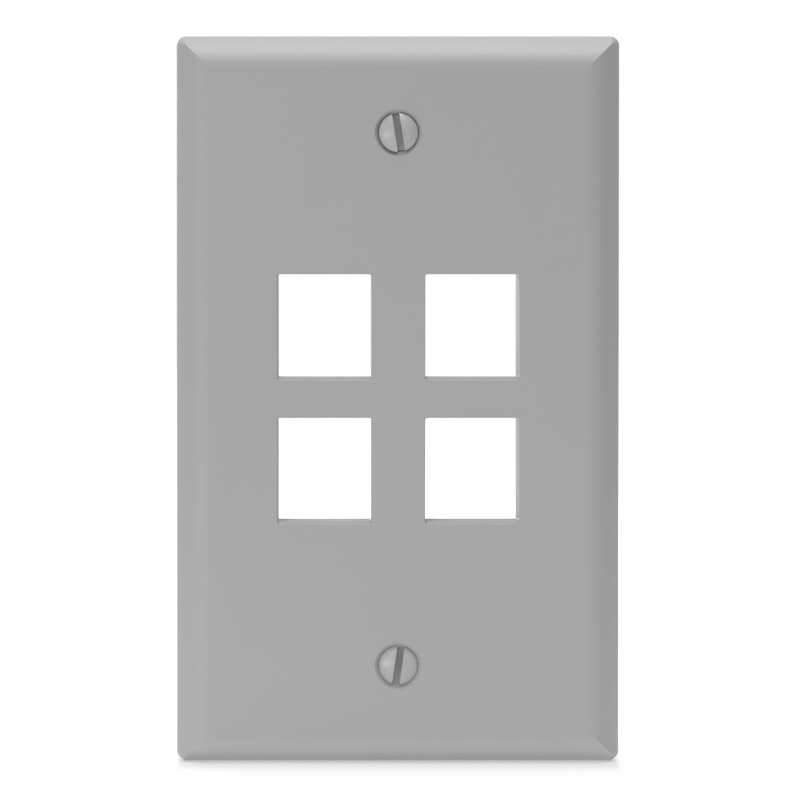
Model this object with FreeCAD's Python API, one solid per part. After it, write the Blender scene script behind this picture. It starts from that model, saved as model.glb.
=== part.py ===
"""A single-gang keystone faceplate with four jack openings and its two oval-head mounting screws.

The plate is one moulding: a shallow dish with a bevelled rim, a 2 by 2 grid of openings, a jack frame
behind each column of openings, stiffening ribs and two screw bosses. Millimetres. The origin is the
centre of the wall plane that the rim rests on, +Y points into the wall, +Z is up and the visible face
looks along -Y. Depths are measured from the wall plane towards the viewer, so a depth d lies at y = -d.
"""

import FreeCAD, Part
import math
import os
from FreeCAD import Vector

# Plate outline and shell
PLATE_WIDTH = 69.85
PLATE_HEIGHT = 114.3
PLATE_DEPTH = 5.6          # wall plane to visible face
WALL = 2.0                 # moulded wall, the same in the face, the bevel and the rim
RIM_HEIGHT = 1.2           # nearly upright band between the wall plane and the bevel
SIDE_DRAFT = 0.1           # how far that band leans in
WAIST_INSET = 1.2          # from the outline to where the bevel's steep and shallow parts would meet
WAIST_DEPTH = 3.1          # wall plane to that line
BEVEL_INSET = 3.7          # from the outline to where bevel and face would meet
FACE_BLEND = 4.0           # radius between bevel and face
BEVEL_BLEND = 12.0         # radius that makes the bevel slightly convex
RIM_BLEND = 1.0            # radius between rim band and bevel
INNER_RIM_BLEND = 0.25     # the same on the inside of the shell
CORNER_RADIUS = 1.5        # plan radius of the four outer corners

# Jack openings, as seen on the visible face
PORT_COLUMNS = 2
PORT_ROWS = 2
PORT_WIDTH = 14.7
PORT_HEIGHT = 16.1         # clear height, without the sill
PORT_SILL = 0.6            # chamfer along an opening's lower edge
PORT_CORNER = 0.4          # plan radius of an opening's corners
PORT_EDGE_ROUND = 0.15     # rounding where an opening meets the visible face
COLUMN_GAP = 8.4           # plate left between two openings side by side

# Jack frame behind a column of openings. The jack's fixed hook goes under the lower lip and its
# springy latch snaps between the upper lip and the upper catch.
FRAME_WALL = 1.6           # side walls, and the walls above and below the column
WEB = 1.9                  # wall shared by two openings one above the other
FRAME_DRAFT = 0.25         # how far the outer walls lean in over the frame's depth
FRAME_CORNER = 0.8         # plan radius of the frame's outer corners
LATCH_LIP = 4.0            # visible face to the back of the lip that the latch hooks behind
LATCH_RECESS = 2.9         # room above an opening for the latch
LATCH_CATCH = 1.5          # how far the upper catch reaches down into that room
HOOK_LIP = 5.5             # visible face to the back of the lip that the fixed hook sits behind
HOOK_SLOT = 2.4            # room for the hook between that lip and the catch bar
HOOK_RECESS = 1.6          # room below an opening for the hook
HOOK_CATCH = 1.1           # how far the lower catch reaches up into that room
CATCH_THICKNESS = 1.9      # catch bars at the frame's rear end
LEAD_IN = 0.5              # chamfer that guides the jack past a catch bar
SLOT_MARGIN = 1.9          # wall left each side of the moulding slots in the frame's cross walls

# Ribs and bosses on the back
RIB_THICKNESS = 1.2
RIB_SETBACK = 1.2          # rib tops stay this far short of the wall plane
GUSSET_SETBACK = 2.7       # gussets stop this far short of the frame's rear end
GUSSET_RUN = 3.4
BOSS_WALL = 1.1            # plastic around the countersink
BOSS_SETBACK = 1.2         # bosses end level with the ribs
BOSS_DRAFT = 0.2
EJECTOR_DIAMETER = 4.0     # round marks that the mould's ejector pins leave on the back of the face
EJECTOR_DEPTH = 0.15
EJECTOR_END_GAP = 11.0     # from the plate's ends to the centres of the nearest marks

# Screws: 6-32 oval head, slotted, one inch long
SCREW_SPACING = 83.34      # 3.281 inch between centres
THREAD_DIAMETER = 3.5
SCREW_LENGTH = 25.4        # from the head's widest edge to the tip
NECK_DIAMETER = 2.95       # plain shank between head and thread
NECK_END = 4.65            # from the head's widest edge to the full thread
TIP_CHAMFER = 0.55
HEAD_DIAMETER = 6.1
HEAD_ANGLE = 82.0          # included angle of the countersunk cone
HEAD_LAND = 0.15           # straight edge between cone and dome
DOME_RISE = 1.05
SLOT_WIDTH = 1.15
SLOT_DEPTH = 1.5           # below the dome's top
UPPER_SLOT_LEAN = -9.0     # degrees from upright, positive with the slot's top to the right
LOWER_SLOT_LEAN = 8.0

# Clearances between screw and plate
HOLE_CLEARANCE = 0.35      # around the thread
COUNTERSINK_MARGIN = 0.65  # countersink beyond the head, on the visible face
SEAT_CLEARANCE = 0.05      # along the axis, when a screw is driven home
UPPER_BACK_OFF = 0.3       # the upper screw stands this far out of its seat
LOWER_BACK_OFF = 0.0

PARTS = "parts"
OVERRUN = 2.0              # how far a cutter passes the surface that it cuts
SAME_POINT = 1e-6          # two points or planes closer than this are one
HALF_CONE = math.radians(HEAD_ANGLE / 2)
CATCH_FRONT = HOOK_LIP + HOOK_SLOT             # visible face to the front of the catch bars
FRAME_DEPTH = CATCH_FRONT + CATCH_THICKNESS    # visible face to the frame's rear end
FRAME_END = PLATE_DEPTH - FRAME_DEPTH          # depth of that end, negative beyond the wall plane
GUSSET_TOP = FRAME_END + GUSSET_SETBACK
COUNTERSINK_DIAMETER = HEAD_DIAMETER + 2 * COUNTERSINK_MARGIN
HOLE_DIAMETER = THREAD_DIAMETER + 2 * HOLE_CLEARANCE
COLUMN_PITCH = PORT_WIDTH + COLUMN_GAP
ROW_PITCH = PORT_HEIGHT + LATCH_RECESS + HOOK_RECESS + WEB


def rounded_wire(corners, place):
    """A closed wire through (u, v, radius) corners, each rounded, where place(u, v) gives the point."""
    edges = []
    starts = []
    ends = []
    count = len(corners)
    for i, (u, v, radius) in enumerate(corners):
        here = Vector(u, v, 0)
        before = Vector(*corners[i - 1][:2], 0) - here
        after = Vector(*corners[(i + 1) % count][:2], 0) - here
        before.normalize()
        after.normalize()
        half = before.getAngle(after) / 2
        reach = radius / math.tan(half)
        starts.append(here + before * reach)
        ends.append(here + after * reach)
        if radius:
            inward = before + after
            inward.normalize()
            middle = here + inward * (radius / math.sin(half) - radius)
            points = [place(p.x, p.y) for p in (starts[-1], middle, ends[-1])]
            edges.append(Part.Arc(*points).toShape())
    for i in range(count):
        a = ends[i]
        b = starts[(i + 1) % count]
        if (b - a).Length > SAME_POINT:
            edges.append(Part.LineSegment(place(a.x, a.y), place(b.x, b.y)).toShape())
    return Part.Wire(Part.__sortEdges__(edges))


def prism(corners, place, direction):
    """The solid swept by a rounded outline along a direction."""
    return Part.Face(rounded_wire(corners, place)).extrude(direction)


def block(x_range, depth_range, z_range):
    """A box between two x values, two depths and two z values."""
    x0, x1 = sorted(x_range)
    d0, d1 = sorted(depth_range)
    z0, z1 = sorted(z_range)
    return Part.makeBox(x1 - x0, d1 - d0, z1 - z0, Vector(x0, -d1, z0))


def fused(shapes):
    """All shapes joined into one."""
    return shapes[0].multiFuse(shapes[1:]) if len(shapes) > 1 else shapes[0]


def set_in(before, corner, after, inset):
    """A section's corner moved inwards, so that both of its sides lie inset further in."""
    sides = []
    for start, stop in ((before, corner), (corner, after)):
        run = Vector(stop[0] - start[0], stop[1] - start[1], 0)
        run.normalize()
        sides.append(Vector(-run.y, run.x, 0))
    shift = (sides[0] + sides[1]) * (inset / (1 + sides[0].dot(sides[1])))
    return corner[0] + shift.x, corner[1] + shift.y


def bevel_corners(half, inset):
    """Rounded (u, depth, radius) corners from the rim band over the bevel to the face, set in by inset."""
    path = [
        (half - SIDE_DRAFT, 0),
        (half - SIDE_DRAFT, RIM_HEIGHT),
        (half - WAIST_INSET, WAIST_DEPTH),
        (half - BEVEL_INSET, PLATE_DEPTH),
        (half - BEVEL_INSET - OVERRUN, PLATE_DEPTH),
    ]
    rim_blend = RIM_BLEND if inset == 0 else INNER_RIM_BLEND
    radii = (rim_blend, BEVEL_BLEND - inset, FACE_BLEND - inset)
    moved = [set_in(*path[i : i + 3], inset) for i in range(len(radii))]
    return [(*corner, radius) for corner, radius in zip(moved, radii)]


def rim_section(half, inset, back):
    """Corners of the dish's section, half wide each way, set in by inset, its open end at depth -back."""
    right = [(half - inset, -back, 0), *bevel_corners(half, inset)]
    left = [(-u, d, r) for u, d, r in reversed(right)]
    return right + left


def dish(inset, back):
    """The plate's bevelled block with mitred corners, its surface set in by inset, reaching depth -back."""
    across = prism(
        rim_section(PLATE_WIDTH / 2, inset, back),
        lambda u, d: Vector(u, -d, -PLATE_HEIGHT / 2),
        Vector(0, 0, PLATE_HEIGHT),
    )
    upright = prism(
        rim_section(PLATE_HEIGHT / 2, inset, back),
        lambda u, d: Vector(-PLATE_WIDTH / 2, -d, u),
        Vector(PLATE_WIDTH, 0, 0),
    )
    return across.common(upright)


def corner_plug():
    """The rounded outer corner: the rim section turned about the corner's centre, at the origin."""
    inner = -BEVEL_INSET - FACE_BLEND
    section = [
        (CORNER_RADIUS, 0, 0),
        *bevel_corners(CORNER_RADIUS, 0),
        (inner, PLATE_DEPTH, 0),
        (inner, 0, 0),
    ]
    face = Part.Face(rounded_wire(section, lambda u, d: Vector(u, -d, 0)))
    kept = Part.makePlane(CORNER_RADIUS, PLATE_DEPTH, Vector(0, -PLATE_DEPTH, 0))
    return face.common(kept).Faces[0].revolve(Vector(0, 0, 0), Vector(0, 1, 0), 360)


def outer_block():
    """The plate's outer form with its four plan corners rounded."""
    body = dish(0, 0)
    plug = corner_plug()
    for side_x in (-1, 1):
        for side_z in (-1, 1):
            centre_x = side_x * (PLATE_WIDTH / 2 - CORNER_RADIUS)
            centre_z = side_z * (PLATE_HEIGHT / 2 - CORNER_RADIUS)
            square = block(
                (centre_x, centre_x + side_x * CORNER_RADIUS),
                (0, PLATE_DEPTH),
                (centre_z, centre_z + side_z * CORNER_RADIUS),
            )
            corner = plug.translated(Vector(centre_x, 0, centre_z)).common(square)
            body = body.cut(square).fuse(corner)
    return body.removeSplitter()


def column_centres():
    """x of each column of openings."""
    return [(i - (PORT_COLUMNS - 1) / 2) * COLUMN_PITCH for i in range(PORT_COLUMNS)]


def row_centres():
    """z of each row of clear openings, the lowest first. With their sills they are centred on the plate."""
    return [(i - (PORT_ROWS - 1) / 2) * ROW_PITCH + PORT_SILL / 2 for i in range(PORT_ROWS)]


def port_outline(x, z, sill):
    """Corners of a port's outline about its clear centre, its lower edge dropped by sill."""
    left, right = x - PORT_WIDTH / 2, x + PORT_WIDTH / 2
    bottom, top = z - PORT_HEIGHT / 2 - sill, z + PORT_HEIGHT / 2
    return [(u, v, PORT_CORNER) for u, v in ((left, bottom), (right, bottom), (right, top), (left, top))]


def opening_cutter(x, z):
    """A port's opening: a rounded rectangle straight through the face and the latch lip."""
    front = -PLATE_DEPTH - OVERRUN
    length = LATCH_LIP + 2 * OVERRUN
    return prism(port_outline(x, z, 0), lambda u, v: Vector(u, front, v), Vector(0, length, 0))


def sill_cutter(x, z):
    """The chamfer along a port's lower edge, from the face to the clear opening."""
    sections = []
    for sill in (PORT_SILL, 0):
        y = PORT_SILL - PLATE_DEPTH - sill
        sections.append(rounded_wire(port_outline(x, z, sill), lambda u, v, y=y: Vector(u, y, v)))
    return Part.makeLoft(sections, True, True)


def recess_cutter(x, z):
    """The stepped room behind a port's lips: both recesses, and the way in past the catch bars."""
    top = z + PORT_HEIGHT / 2
    bottom = z - PORT_HEIGHT / 2
    latch_gap = top + LATCH_RECESS - LATCH_CATCH
    hook_gap = bottom - HOOK_RECESS + HOOK_CATCH
    flare = LEAD_IN + OVERRUN
    steps = [
        (LATCH_LIP, bottom),
        (HOOK_LIP, bottom),
        (HOOK_LIP, bottom - HOOK_RECESS),
        (CATCH_FRONT, bottom - HOOK_RECESS),
        (CATCH_FRONT, hook_gap),
        (FRAME_DEPTH - LEAD_IN, hook_gap),
        (FRAME_DEPTH - LEAD_IN + flare, hook_gap - flare),
        (FRAME_DEPTH - LEAD_IN + flare, latch_gap + flare),
        (FRAME_DEPTH - LEAD_IN, latch_gap),
        (CATCH_FRONT, latch_gap),
        (CATCH_FRONT, top + LATCH_RECESS),
        (LATCH_LIP, top + LATCH_RECESS),
    ]
    corners = [(depth, v, 0) for depth, v in steps]
    return prism(
        corners,
        lambda depth, v: Vector(x - PORT_WIDTH / 2, depth - PLATE_DEPTH, v),
        Vector(PORT_WIDTH, 0, 0),
    )


def frame_span():
    """Lowest and highest z of a jack frame."""
    rows = row_centres()
    low = rows[0] - PORT_HEIGHT / 2 - HOOK_RECESS - FRAME_WALL
    high = rows[-1] + PORT_HEIGHT / 2 + LATCH_RECESS + FRAME_WALL
    return low, high


def cross_wall_centres():
    """z of the middle of each wall that crosses a frame: below, between and above its openings."""
    low, high = frame_span()
    webs = [z - PORT_HEIGHT / 2 - HOOK_RECESS - WEB / 2 for z in row_centres()[1:]]
    return [low + FRAME_WALL / 2, *webs, high - FRAME_WALL / 2]


def frame_block(x):
    """One column's frame before its recesses: a rounded block that tapers towards its rear end."""
    low, high = frame_span()
    half = PORT_WIDTH / 2 + FRAME_WALL
    sections = []
    for depth, lean in ((PLATE_DEPTH, 0.0), (FRAME_END, FRAME_DRAFT)):
        left, right = x - half + lean, x + half - lean
        bottom, top = low + lean, high - lean
        corners = [(u, v, FRAME_CORNER) for u, v in
                   ((left, bottom), (right, bottom), (right, top), (left, top))]
        sections.append(rounded_wire(corners, lambda u, v, y=-depth: Vector(u, y, v)))
    return Part.makeLoft(sections, True, True)


def moulding_slots(x):
    """Slots through a frame's cross walls, where the mould's slides shape the recesses."""
    half = PORT_WIDTH / 2 - SLOT_MARGIN
    rear = PLATE_DEPTH - CATCH_FRONT
    walls = cross_wall_centres()
    reach = max(WEB, FRAME_WALL)
    slots = []
    for z in walls:
        lip = LATCH_LIP if z == walls[-1] else HOOK_LIP
        slots.append(block((x - half, x + half), (PLATE_DEPTH - lip, rear), (z - reach, z + reach)))
    return slots


def frames_edge():
    """x of the outermost frame wall's outer side."""
    return (PORT_COLUMNS - 1) / 2 * COLUMN_PITCH + PORT_WIDTH / 2 + FRAME_WALL


def side_rib(z, side):
    """A rib from a frame's outer wall to the rim, with a gusset where it meets the frame."""
    frame_side = frames_edge()
    inner = frame_side - FRAME_WALL / 2
    corners = [
        (inner, PLATE_DEPTH),
        (inner, GUSSET_TOP),
        (frame_side, GUSSET_TOP),
        (frame_side + GUSSET_RUN, RIB_SETBACK),
        (PLATE_WIDTH / 2, RIB_SETBACK),
        (PLATE_WIDTH / 2, PLATE_DEPTH),
    ]
    return prism(
        [(u, d, 0) for u, d in corners],
        lambda u, d: Vector(side * u, -d, z - RIB_THICKNESS / 2),
        Vector(0, 0, RIB_THICKNESS),
    )


def screw_centres():
    """z of the upper and the lower screw."""
    return SCREW_SPACING / 2, -SCREW_SPACING / 2


def boss(z):
    """The round pad behind a countersunk hole."""
    radius = COUNTERSINK_DIAMETER / 2 + BOSS_WALL
    height = PLATE_DEPTH - BOSS_SETBACK
    return Part.makeCone(radius, radius - BOSS_DRAFT, height, Vector(0, -PLATE_DEPTH, z), Vector(0, 1, 0))


def ejector_marks():
    """Cutters for the marks beside the frames, one in each bay between two ribs, and near the corners."""
    x = (frames_edge() + PLATE_WIDTH / 2 - BEVEL_INSET) / 2
    walls = cross_wall_centres()
    end = PLATE_HEIGHT / 2 - EJECTOR_END_GAP
    heights = [-end, *[(a + b) / 2 for a, b in zip(walls, walls[1:])], end]
    front = WALL - PLATE_DEPTH - EJECTOR_DEPTH
    return [
        Part.makeCylinder(EJECTOR_DIAMETER / 2, WALL, Vector(side * x, front, z), Vector(0, 1, 0))
        for side in (-1, 1) for z in heights
    ]


def back_features():
    """Everything moulded onto the back of the face, before recesses and holes, clipped inside the shell."""
    walls = cross_wall_centres()
    half_gap = COLUMN_GAP / 2
    half_rib = RIB_THICKNESS / 2
    solids = [frame_block(x) for x in column_centres()]
    solids += [side_rib(z, side) for z in walls for side in (-1, 1)]
    solids += [
        block((-half_gap, half_gap), (GUSSET_TOP, PLATE_DEPTH), (z - half_rib, z + half_rib)) for z in walls
    ]
    for z, wall in zip(screw_centres(), (walls[-1], walls[0])):
        solids.append(block((-half_rib, half_rib), (RIB_SETBACK, PLATE_DEPTH), (z, wall)))
        solids.append(boss(z))
    inside = dish(WALL / 2, OVERRUN - FRAME_END)
    return fused(solids).common(inside)


def hole_cutter(z):
    """The screw's clearance hole and its countersink."""
    hole_r = HOLE_DIAMETER / 2
    sink_r = COUNTERSINK_DIAMETER / 2
    over = OVERRUN * math.tan(HALF_CONE)
    front = -PLATE_DEPTH - OVERRUN
    drop = (sink_r + over - hole_r) / math.tan(HALF_CONE)
    sink = Part.makeCone(sink_r + over, hole_r, drop, Vector(0, front, z), Vector(0, 1, 0))
    hole = Part.makeCylinder(hole_r, PLATE_DEPTH + 2 * OVERRUN, Vector(0, front, z), Vector(0, 1, 0))
    return sink.fuse(hole)


def round_openings(shell):
    """Rounds the edges where the openings meet the visible face."""
    front = max(
        (f for f in shell.Faces if abs(f.BoundBox.YMax + PLATE_DEPTH) < SAME_POINT),
        key=lambda f: f.Area,
    )
    outline = max(front.Wires, key=lambda w: w.BoundBox.DiagonalLength)
    edges = [e for w in front.Wires if not w.isSame(outline) for e in w.Edges]
    return shell.makeFillet(PORT_EDGE_ROUND, edges)


def faceplate():
    """The moulded plate, one solid."""
    ports = [(x, z) for x in column_centres() for z in row_centres()]
    shell = outer_block().cut(dish(WALL, OVERRUN))
    openings = fused([cutter(x, z) for x, z in ports for cutter in (opening_cutter, sill_cutter)])
    shell = round_openings(shell.cut(openings))
    backing = back_features()
    cutters = [openings]
    cutters += [recess_cutter(x, z) for x, z in ports]
    cutters += [slot for x in column_centres() for slot in moulding_slots(x)]
    backing = backing.cut(fused(cutters))
    plate = shell.fuse(backing)
    for cutter in [*[hole_cutter(z) for z in screw_centres()], *ejector_marks()]:
        plate = plate.cut(cutter)
    return plate.removeSplitter()


def screw(z, back_off, slot_lean):
    """One oval-head screw, standing back_off out of its seat in the countersink at height z."""
    head_r = HEAD_DIAMETER / 2
    neck_r = NECK_DIAMETER / 2
    thread_r = THREAD_DIAMETER / 2
    sunk = (COUNTERSINK_DIAMETER - HEAD_DIAMETER) / 2 / math.tan(HALF_CONE)
    edge = PLATE_DEPTH - sunk + SEAT_CLEARANCE + back_off
    cone_end = edge - (head_r - neck_r) / math.tan(HALF_CONE)
    thread_start = edge - NECK_END
    tip = edge - SCREW_LENGTH
    top = edge + HEAD_LAND + DOME_RISE
    ball = (head_r**2 + DOME_RISE**2) / (2 * DOME_RISE)
    half_arc = math.asin(head_r / ball) / 2
    dome_middle = Vector(ball * math.sin(half_arc), -(top - ball + ball * math.cos(half_arc)), 0)
    outline = [
        (head_r, edge + HEAD_LAND),
        (head_r, edge),
        (neck_r, cone_end),
        (neck_r, thread_start + thread_r - neck_r),
        (thread_r, thread_start),
        (thread_r, tip + TIP_CHAMFER),
        (thread_r - TIP_CHAMFER, tip),
        (0, tip),
        (0, top),
    ]
    points = [Vector(r, -d, 0) for r, d in outline]
    edges = [Part.LineSegment(a, b).toShape() for a, b in zip(points, points[1:])]
    edges.append(Part.Arc(points[-1], dome_middle, points[0]).toShape())
    turned = Part.Face(Part.Wire(edges)).revolve(Vector(0, 0, 0), Vector(0, 1, 0), 360)
    reach = head_r + OVERRUN
    slot = block((-SLOT_WIDTH / 2, SLOT_WIDTH / 2), (top - SLOT_DEPTH, top + OVERRUN), (-reach, reach))
    slot.rotate(Vector(0, 0, 0), Vector(0, 1, 0), slot_lean)
    return turned.cut(slot).translated(Vector(0, 0, z))


def export(name, shape):
    """Writes one node, after checking that it is one valid solid."""
    solids = shape.Solids
    if len(solids) != 1 or not shape.isValid():
        raise ValueError(f"{name}: {len(solids)} solids, valid {shape.isValid()}")
    solids[0].exportStep(os.path.join(PARTS, name + ".step"))
    box = shape.BoundBox
    print(f"{name}: {box.XLength:.2f} x {box.YLength:.2f} x {box.ZLength:.2f} mm, {shape.Volume:.1f} mm3")


def main():
    os.makedirs(PARTS, exist_ok=True)
    upper, lower = screw_centres()
    export("faceplate", faceplate())
    export("upper_screw", screw(upper, UPPER_BACK_OFF, UPPER_SLOT_LEAN))
    export("lower_screw", screw(lower, LOWER_BACK_OFF, LOWER_SLOT_LEAN))


main()
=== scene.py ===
"""Looks for the keystone faceplate: moulded plastic, threaded screws, studio floor, lights and camera.

Lengths in the helpers are millimetres in the part's own frame and turn into metres when a mesh or an
object is placed: +X right, +Y into the wall, +Z up, and the visible face looks along -Y.
"""

import math

import bmesh
import bpy
from mathutils import Matrix, Vector

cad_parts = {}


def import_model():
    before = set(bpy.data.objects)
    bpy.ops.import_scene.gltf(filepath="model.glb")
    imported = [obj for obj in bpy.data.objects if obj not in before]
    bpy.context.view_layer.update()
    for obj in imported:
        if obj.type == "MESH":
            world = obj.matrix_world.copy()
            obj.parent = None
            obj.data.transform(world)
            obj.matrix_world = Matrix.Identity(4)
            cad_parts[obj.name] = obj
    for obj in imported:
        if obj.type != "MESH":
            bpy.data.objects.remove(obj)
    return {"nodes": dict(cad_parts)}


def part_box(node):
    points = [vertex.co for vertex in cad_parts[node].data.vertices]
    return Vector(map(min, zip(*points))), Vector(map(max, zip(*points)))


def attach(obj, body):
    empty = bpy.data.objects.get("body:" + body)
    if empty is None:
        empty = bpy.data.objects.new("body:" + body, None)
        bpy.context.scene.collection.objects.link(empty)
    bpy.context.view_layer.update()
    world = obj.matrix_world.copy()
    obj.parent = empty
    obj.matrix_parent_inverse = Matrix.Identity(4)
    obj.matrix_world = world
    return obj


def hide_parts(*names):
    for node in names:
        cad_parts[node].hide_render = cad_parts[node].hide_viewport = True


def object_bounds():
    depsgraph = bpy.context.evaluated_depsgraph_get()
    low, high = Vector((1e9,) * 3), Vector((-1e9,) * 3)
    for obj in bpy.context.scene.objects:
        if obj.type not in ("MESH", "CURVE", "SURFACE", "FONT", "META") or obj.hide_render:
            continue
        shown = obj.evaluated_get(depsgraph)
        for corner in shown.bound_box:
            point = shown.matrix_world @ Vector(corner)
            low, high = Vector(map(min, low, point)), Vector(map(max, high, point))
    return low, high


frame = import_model()
cad_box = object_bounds()

MM = 0.001

# Screws: 6-32 oval head, slotted
HEAD_RADIUS = 3.05
HEAD_LAND = 0.15            # straight edge between cone and dome
DOME_RISE = 1.05
HALF_CONE = math.radians(41)
NECK_RADIUS = 1.475
NECK_END = 4.65             # from the head's widest edge to the full thread
SLOT_WIDTH = 1.15
SLOT_DEPTH = 1.5            # below the dome's top
SLOT_EDGE = 0.06            # rounding of the slot's upper edges
SLOT_LEANS = {"upper_screw": -9.0, "lower_screw": 8.0}   # degrees, positive with the top to the right
THREAD_PITCH = 25.4 / 32
CREST_RADIUS = 1.75
CREST_SHARE = 1 / 8         # flat crest and flat root, as shares of the pitch
ROOT_SHARE = 1 / 4
FLANK_SHARE = (1 - CREST_SHARE - ROOT_SHARE) / 2
ROOT_RADIUS = CREST_RADIUS - FLANK_SHARE * THREAD_PITCH / math.tan(math.radians(30))
TIP_CHAMFER = 0.55
RUN_IN = 0.8                # the groove deepens over this length below the neck
PAINTED_CONE = 0.4          # share of the cone that the paint covers
SEGMENTS = 96
DOME_RINGS = 14
SAME_POINT = 1e-4
SHARP_ANGLE = math.radians(35)
WALL_ALIGNMENT = 0.99       # least cosine between a slot wall's normal and the way across the slot

# Colours, linear
PLASTIC_GREY = 0.372
PAINT_GREY = 0.39
SLOT_SHADE_GREY = 0.30            # paint in the slot made darker: painted shade in the slot
ZINC_TINT = (0.42, 0.43, 0.45)

# Camera
CAMERA_DISTANCE = 450.0     # from the wall plane
CAMERA_RIGHT = -9.0
CAMERA_HEIGHT = 14.0
CAMERA_PITCH = math.radians(0.85)
SENSOR = 36.0
FRAME_PIXELS = 800
PIXELS_PER_MM = 6.325       # at the wall plane
PLATE_CENTRE_PIXEL = (397.7, 398.4)

# Stage
FLOOR_SIZE = 6000.0
FLOOR_WHITE = 0.65          # the table as it lights the plate
TABLE_GLOW = 0.558          # its own soft glow near the plate
TABLE_FADES = ((80.0, 160.0, -0.291),)    # changes of a glow: from, to, gained between them
# The camera sees the table's glow lower near the plate and rising away from it: a painted shadow over the
# plate's real shadow in the matt white.
SEEN_WHITE = 0.35           # the table as the camera sees it, for the plate's shadow
SEEN_GLOW = 0.18            # its glow at the wall plane, lowest there as painted shadow
PAINTED_SHADOW_RISES = ((0.0, 2.8, 0.29), (6.5, 13.0, 0.14), (0.0, 150.0, 0.40))
SIDE_SPEED = 12.0           # towards the plate's sides the painted shadow ends so many times sooner
SIDE_INSET = 1.2            # and begins to end inside the plate's width
AMBIENT = 0.2               # the world as it lights the plate


def vector_m(x, y, z):
    """A point given in millimetres, in metres."""
    return Vector((x, y, z)) * MM


# Materials


def node_material(name):
    """An empty node material with a Principled shader: (material, nodes, links, shader)."""
    material = bpy.data.materials.new(name)
    material.use_nodes = True
    nodes = material.node_tree.nodes
    return material, nodes, material.node_tree.links, nodes["Principled BSDF"]


def noise(nodes, links, feature, detail=2.0):
    """A noise texture whose features are about so many millimetres wide, in the part's own frame."""
    place = nodes.new("ShaderNodeTexCoord")
    texture = nodes.new("ShaderNodeTexNoise")
    texture.inputs["Scale"].default_value = 1 / (feature * MM)
    texture.inputs["Detail"].default_value = detail
    links.new(place.outputs["Object"], texture.inputs["Vector"])
    return texture.outputs["Fac"]


def spread(nodes, links, source, low, high):
    """Maps a 0 to 1 pattern onto low to high."""
    node = nodes.new("ShaderNodeMapRange")
    node.inputs["To Min"].default_value = low
    node.inputs["To Max"].default_value = high
    links.new(source, node.inputs["Value"])
    return node.outputs["Result"]


def grey_pattern(nodes, links, source, tint, change):
    """A colour that varies by a small share either way."""
    ramp = nodes.new("ShaderNodeValToRGB")
    for element, share in zip(ramp.color_ramp.elements, (1 - change, 1 + change)):
        element.color = (*(channel * share for channel in tint), 1.0)
    links.new(source, ramp.inputs["Fac"])
    return ramp.outputs["Color"]


def bump(nodes, links, source, height, normal=None):
    """A bump of so many millimetres from a pattern, on top of another bump."""
    node = nodes.new("ShaderNodeBump")
    node.inputs["Strength"].default_value = 1.0
    node.inputs["Distance"].default_value = height * MM
    links.new(source, node.inputs["Height"])
    if normal is not None:
        links.new(normal, node.inputs["Normal"])
    return node.outputs["Normal"]


def plastic():
    """Satin moulded plastic: a fine spark-eroded grain over a very slight flow unevenness."""
    material, nodes, links, shader = node_material("plate_plastic")
    flow = noise(nodes, links, feature=30.0)
    grain = noise(nodes, links, feature=0.12, detail=3.0)
    colour = grey_pattern(nodes, links, flow, (PLASTIC_GREY,) * 3, change=0.012)
    links.new(colour, shader.inputs["Base Color"])
    links.new(spread(nodes, links, grain, low=0.5, high=0.62), shader.inputs["Roughness"])
    fine = bump(nodes, links, grain, height=0.004)
    links.new(bump(nodes, links, flow, height=0.02, normal=fine), shader.inputs["Normal"])
    shader.inputs["IOR"].default_value = 1.5
    return material


def paint(name, grey):
    """Gloss enamel on the screw heads, with a faint orange peel."""
    material, nodes, links, shader = node_material(name)
    peel = noise(nodes, links, feature=0.5)
    links.new(grey_pattern(nodes, links, peel, (grey,) * 3, change=0.02), shader.inputs["Base Color"])
    links.new(spread(nodes, links, peel, low=0.32, high=0.4), shader.inputs["Roughness"])
    links.new(bump(nodes, links, peel, height=0.006), shader.inputs["Normal"])
    shader.inputs["IOR"].default_value = 1.6
    return material


def zinc():
    """Zinc-plated steel of the thread, a little uneven in sheen."""
    material, nodes, links, shader = node_material("screw_zinc")
    mottle = noise(nodes, links, feature=0.8, detail=4.0)
    links.new(grey_pattern(nodes, links, mottle, ZINC_TINT, change=0.06), shader.inputs["Base Color"])
    links.new(spread(nodes, links, mottle, low=0.28, high=0.44), shader.inputs["Roughness"])
    links.new(bump(nodes, links, mottle, height=0.005), shader.inputs["Normal"])
    shader.inputs["Metallic"].default_value = 1.0
    return material


# Screws


def cone_depth():
    """From the head's widest edge to the neck."""
    return (HEAD_RADIUS - NECK_RADIUS) / math.tan(HALF_CONE)


def dome_ball():
    """Radius of the ball that the dome is a part of."""
    return (HEAD_RADIUS**2 + DOME_RISE**2) / (2 * DOME_RISE)


def head_rows():
    """(radius, distance past the head's top) down the dome, the land, the cone and the neck."""
    ball = dome_ball()
    reach = math.asin(HEAD_RADIUS / ball)
    edge = DOME_RISE + HEAD_LAND
    painted = PAINTED_CONE * cone_depth()
    rows = []
    for ring in range(1, DOME_RINGS + 1):
        turn = reach * ring / DOME_RINGS
        rows.append((ball * math.sin(turn), ball * (1 - math.cos(turn))))
    rows.append((HEAD_RADIUS, edge))
    rows.append((HEAD_RADIUS - painted * math.tan(HALF_CONE), edge + painted))
    rows.append((NECK_RADIUS, edge + cone_depth()))
    return rows


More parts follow.
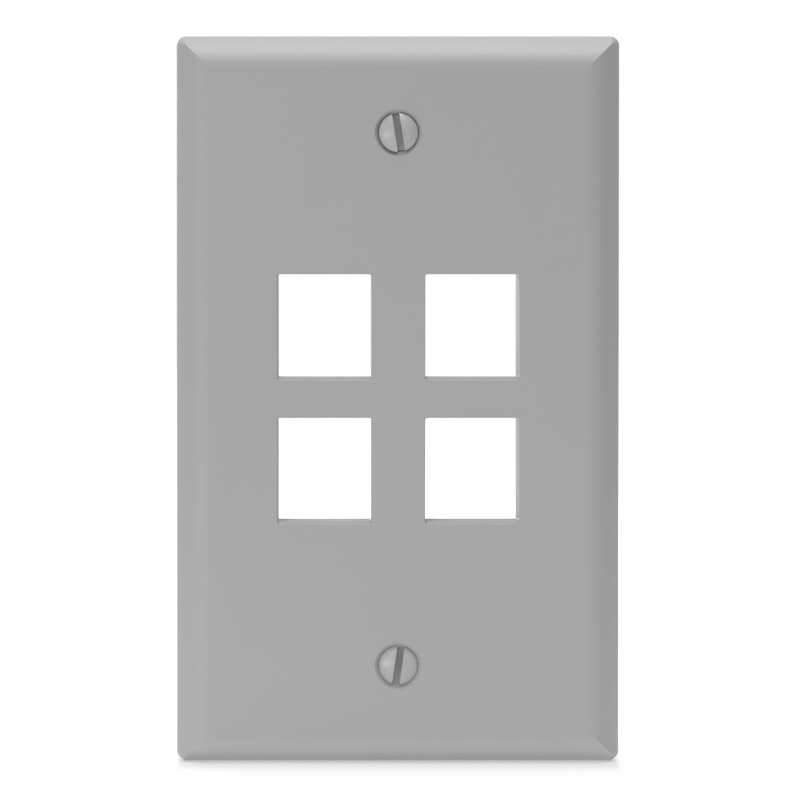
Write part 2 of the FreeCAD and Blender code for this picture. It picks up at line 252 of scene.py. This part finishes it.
def thread_rows(start, tip):
    """Rows of (radius, distance) that climb along the helix, one for each corner of the profile."""
    corners = (
        (0, ROOT_RADIUS),
        (ROOT_SHARE, ROOT_RADIUS),
        (ROOT_SHARE + FLANK_SHARE, CREST_RADIUS),
        (1 - FLANK_SHARE, CREST_RADIUS),
    )
    turns = math.ceil((tip - start) / THREAD_PITCH) + 1
    rows = []
    for turn in range(-1, turns):
        for share, full in corners:
            row = []
            for i in range(SEGMENTS + 1):
                along = start + THREAD_PITCH * (turn + share + i / SEGMENTS)
                distance = min(max(along, start), tip)
                depth = min((distance - start) / RUN_IN, 1)
                radius = NECK_RADIUS + (full - NECK_RADIUS) * depth
                chamfered = CREST_RADIUS - TIP_CHAMFER + tip - distance
                row.append((min(radius, chamfered), distance))
            rows.append(row)
    return rows


def lathe(rows, top, axis_z):
    """A closed mesh through rows of (radius, distance past the head's top) about the screw's axis."""
    made = bmesh.new()
    rings = []
    for row in rows:
        ring = []
        for i, (radius, distance) in enumerate(row):
            turn = 2 * math.pi * i / SEGMENTS
            x, z = radius * math.cos(turn), -radius * math.sin(turn)
            ring.append(made.verts.new((x, top + distance, axis_z + z)))
        rings.append(ring)
    for ring, following in zip(rings, rings[1:]):
        for i in range(SEGMENTS):
            made.faces.new((ring[i], ring[i + 1], following[i + 1], following[i]))
    made.faces.new(rings[0][:-1])
    made.faces.new(rings[-1][:-1])
    bmesh.ops.remove_doubles(made, verts=made.verts, dist=SAME_POINT)
    bmesh.ops.recalc_face_normals(made, faces=made.faces)
    return made


def slot_block(top, axis_z, lean):
    """The block that cuts the driver slot, turned by lean about the screw's axis."""
    made = bmesh.new()
    bmesh.ops.create_cube(made, size=1)
    bmesh.ops.scale(made, vec=(SLOT_WIDTH, 2 * SLOT_DEPTH, 4 * HEAD_RADIUS), verts=made.verts)
    bmesh.ops.rotate(made, matrix=Matrix.Rotation(math.radians(lean), 3, "Y"), verts=made.verts)
    bmesh.ops.translate(made, vec=(0, top, axis_z), verts=made.verts)
    return made


def placed(name, made):
    """An object from a mesh in millimetres."""
    bmesh.ops.scale(made, vec=(MM, MM, MM), verts=made.verts)
    mesh = bpy.data.meshes.new(name)
    made.to_mesh(mesh)
    made.free()
    obj = bpy.data.objects.new(name, mesh)
    bpy.context.scene.collection.objects.link(obj)
    return obj


def cut(body, tool):
    """Cuts the tool out of the body and removes the tool."""
    modifier = body.modifiers.new("cut", "BOOLEAN")
    modifier.operation = "DIFFERENCE"
    modifier.solver = "EXACT"
    modifier.object = tool
    shape = body.evaluated_get(bpy.context.evaluated_depsgraph_get())
    body.modifiers.clear()
    body.data = bpy.data.meshes.new_from_object(shape)
    bpy.data.objects.remove(tool)


def soften_slot(body, top, lean):
    """Rounds the long upper edges of the slot."""
    across = Matrix.Rotation(math.radians(lean), 3, "Y") @ Vector((1, 0, 0))
    made = bmesh.new()
    made.from_mesh(body.data)
    edges = []
    for edge in made.edges:
        walls = [f for f in edge.link_faces if abs(f.normal.dot(across)) > WALL_ALIGNMENT]
        above = all(v.co.y / MM < top + SLOT_DEPTH - SAME_POINT for v in edge.verts)
        if above and len(walls) == 1 and edge.calc_face_angle(0) > SHARP_ANGLE:
            edges.append(edge)
    bmesh.ops.bevel(
        made, geom=edges, offset=SLOT_EDGE * MM, offset_type="OFFSET", segments=2, profile=0.5,
        affect="EDGES", clamp_overlap=True,
    )
    made.to_mesh(body.data)
    made.free()


def in_slot(point, lean):
    """Whether a point, in millimetres from the middle of the dome's top, is on the slot's floor or walls."""
    turned = Matrix.Rotation(math.radians(-lean), 3, "Y") @ point
    return abs(turned.x) < SLOT_WIDTH / 2 + SAME_POINT and point.y < SLOT_DEPTH + SAME_POINT


def screw(name, finishes):
    """One screw with its slot and helical thread, in place of the plain CAD one."""
    low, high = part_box(name)
    taken_by_slot = dome_ball() - math.sqrt(dome_ball() ** 2 - (SLOT_WIDTH / 2) ** 2)
    top = low.y / MM - taken_by_slot
    axis_z = (low.z + high.z) / 2 / MM
    edge = DOME_RISE + HEAD_LAND
    rows = [[row] * (SEGMENTS + 1) for row in head_rows()]
    rows += thread_rows(edge + NECK_END - RUN_IN / 2, high.y / MM - top)
    body = placed(name + "_threaded", lathe(rows, top, axis_z))
    lean = SLOT_LEANS[name]
    cut(body, placed("slot_tool", slot_block(top, axis_z, lean)))
    soften_slot(body, top, lean)
    paint_end = edge + PAINTED_CONE * cone_depth()
    body.data.materials.clear()
    for finish in finishes:
        body.data.materials.append(finish)
    for face in body.data.polygons:
        face.use_smooth = True
        point = face.center / MM - Vector((0, top, axis_z))
        # the slot's floor and walls take the darker paint: painted shade in the slot
        face.material_index = 2 if in_slot(point, lean) else int(point.y > paint_end)
    body.data.set_sharp_from_angle(angle=SHARP_ANGLE)
    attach(body, name)
    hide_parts(name)


# Stage


def softbox(name, place, width, height, watts):
    """A flat soft light at place, turned towards the plate's centre."""
    light = bpy.data.lights.new(name, "AREA")
    light.shape = "RECTANGLE"
    light.size = width * MM
    light.size_y = height * MM
    light.energy = watts
    obj = bpy.data.objects.new(name, light)
    obj.location = vector_m(*place)
    obj.rotation_mode = "QUATERNION"
    obj.rotation_quaternion = (-Vector(place)).to_track_quat("-Z", "Y")
    obj.visible_camera = False
    bpy.context.scene.collection.objects.link(obj)


def seen_as_background(nodes, links):
    """1 for rays that should meet the white background: from the camera, a gloss or through glass."""
    path = nodes.new("ShaderNodeLightPath")
    gloss = nodes.new("ShaderNodeMath")
    gloss.operation = "MAXIMUM"
    links.new(path.outputs["Is Camera Ray"], gloss.inputs[0])
    links.new(path.outputs["Is Glossy Ray"], gloss.inputs[1])
    glass = nodes.new("ShaderNodeMath")
    glass.operation = "MAXIMUM"
    links.new(gloss.outputs[0], glass.inputs[0])
    links.new(path.outputs["Is Transmission Ray"], glass.inputs[1])
    return glass.outputs[0]


def world():
    """A white background that lights the object only as a soft grey."""
    made = bpy.data.worlds.new("studio")
    made.use_nodes = True
    nodes, links = made.node_tree.nodes, made.node_tree.links
    ambient = nodes["Background"]
    ambient.inputs["Color"].default_value = (1, 1, 1, 1)
    ambient.inputs["Strength"].default_value = AMBIENT
    white = nodes.new("ShaderNodeBackground")
    white.inputs["Color"].default_value = (1, 1, 1, 1)
    mix = nodes.new("ShaderNodeMixShader")
    links.new(seen_as_background(nodes, links), mix.inputs[0])
    links.new(ambient.outputs[0], mix.inputs[1])
    links.new(white.outputs[0], mix.inputs[2])
    links.new(mix.outputs[0], nodes["World Output"].inputs["Surface"])
    bpy.context.scene.world = made


def from_box(nodes, links, half_size, side_speed):
    """Distance from a box about the origin, in metres, that grows faster beside it."""
    steps = (
        ("ABSOLUTE", None),
        ("SUBTRACT", half_size),
        ("MAXIMUM", (0, 0, 0)),
        ("MULTIPLY", (side_speed, 1, 1)),
        ("LENGTH", None),
    )
    result = nodes.new("ShaderNodeNewGeometry").outputs["Position"]
    for operation, other in steps:
        node = nodes.new("ShaderNodeVectorMath")
        node.operation = operation
        links.new(result, node.inputs[0])
        if other is not None:
            node.inputs[1].default_value = other
        result = node.outputs["Value" if operation == "LENGTH" else "Vector"]
    return result


def white_glow(nodes, links, shader, white, distance, glow, changes):
    """Makes a shader a matt white with a glow that changes between pairs of distances in millimetres."""
    shader.inputs["Base Color"].default_value = (white, white, white, 1)
    shader.inputs["Roughness"].default_value = 1.0
    shader.inputs["Specular IOR Level"].default_value = 0.0
    shader.inputs["Emission Color"].default_value = (1, 1, 1, 1)
    total = None
    for start, stop, gain in changes:
        ramp = spread(nodes, links, distance, 0, gain)
        ramp.node.inputs["From Min"].default_value = start * MM
        ramp.node.inputs["From Max"].default_value = stop * MM
        add = nodes.new("ShaderNodeMath")
        add.operation = "ADD"
        add.inputs[1].default_value = glow
        links.new(ramp, add.inputs[0])
        if total is not None:
            links.new(total, add.inputs[1])
        total = add.outputs[0]
    links.new(total, shader.inputs["Emission Strength"])


def floor_white():
    """A glowing white table that the camera sees whitest away from the plate, with the plate's real shadow
    and a painted shadow near the plate.
    """
    material, nodes, links, table = node_material("floor_white")
    seen = nodes.new("ShaderNodeBsdfPrincipled")
    low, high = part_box("faceplate")
    core = (high.x - SIDE_INSET * MM, 0, -low.z)
    centre_distance = from_box(nodes, links, (0, 0, 0), side_speed=1)
    plate_distance = from_box(nodes, links, core, SIDE_SPEED)
    white_glow(nodes, links, table, FLOOR_WHITE, centre_distance, TABLE_GLOW, TABLE_FADES)
    # Painted shadow: the glow the camera sees is lowest at the plate and rises with distance from it.
    white_glow(nodes, links, seen, SEEN_WHITE, plate_distance, SEEN_GLOW, PAINTED_SHADOW_RISES)
    mix = nodes.new("ShaderNodeMixShader")
    links.new(seen_as_background(nodes, links), mix.inputs[0])
    links.new(table.outputs[0], mix.inputs[1])
    links.new(seen.outputs[0], mix.inputs[2])
    links.new(mix.outputs[0], nodes["Material Output"].inputs["Surface"])
    return material


def floor():
    """A white floor under the plate."""
    plate_low = cad_box[0]
    half = FLOOR_SIZE / 2 * MM
    made = bmesh.new()
    corners = ((-half, -half), (half, -half), (half, half), (-half, half))
    made.faces.new([made.verts.new((x, y, plate_low.z)) for x, y in corners])
    mesh = bpy.data.meshes.new("floor")
    made.to_mesh(mesh)
    made.free()
    mesh.materials.append(floor_white())
    obj = bpy.data.objects.new("floor", mesh)
    bpy.context.scene.collection.objects.link(obj)


def lights():
    """A large soft light overhead, weak fills from the front and the low left, and one behind."""
    softbox("light_overhead", (0, -80, 900), width=600, height=600, watts=7.70)
    softbox("light_front", (0, -500, 600), width=300, height=300, watts=0.406)
    softbox("light_low_left", (-380, -460, -10), width=240, height=90, watts=0.754)
    softbox("light_behind_left", (-300, 600, 250), width=400, height=300, watts=2.4)


def camera():
    """Almost square to the plate, from a little left of and above its centre, looking slightly down."""
    data = bpy.data.cameras.new("camera")
    data.sensor_width = SENSOR
    pixels_per_focal = FRAME_PIXELS / SENSOR
    data.lens = PIXELS_PER_MM * CAMERA_DISTANCE / pixels_per_focal
    ahead = CAMERA_DISTANCE * math.cos(CAMERA_PITCH) + CAMERA_HEIGHT * math.sin(CAMERA_PITCH)
    raised = CAMERA_DISTANCE * math.sin(CAMERA_PITCH) - CAMERA_HEIGHT * math.cos(CAMERA_PITCH)
    right_pixels = -CAMERA_RIGHT / ahead * data.lens * pixels_per_focal
    up_pixels = raised / ahead * data.lens * pixels_per_focal
    half = FRAME_PIXELS / 2
    data.shift_x = (right_pixels - (PLATE_CENTRE_PIXEL[0] - half)) / FRAME_PIXELS
    data.shift_y = (up_pixels - (half - PLATE_CENTRE_PIXEL[1])) / FRAME_PIXELS
    obj = bpy.data.objects.new("camera", data)
    obj.location = vector_m(CAMERA_RIGHT, -CAMERA_DISTANCE, CAMERA_HEIGHT)
    obj.rotation_euler = (math.pi / 2 - CAMERA_PITCH, 0, 0)
    data.clip_start = 0.01
    data.clip_end = 50
    bpy.context.scene.collection.objects.link(obj)
    bpy.context.scene.camera = obj


def dress_plate(finish):
    """Gives the moulded plate its plastic."""
    plate = frame["nodes"]["faceplate"]
    plate.data.materials.clear()
    plate.data.materials.append(finish)


bpy.context.scene.view_settings.view_transform = "Standard"
dress_plate(plastic())
# the third material is the screw paint made darker: painted shade in the slot
finishes = (paint("screw_paint", PAINT_GREY), zinc(), paint("slot_painted_shade", SLOT_SHADE_GREY))
for screw_name in SLOT_LEANS:
    screw(screw_name, finishes)
world()
floor()
lights()
camera()
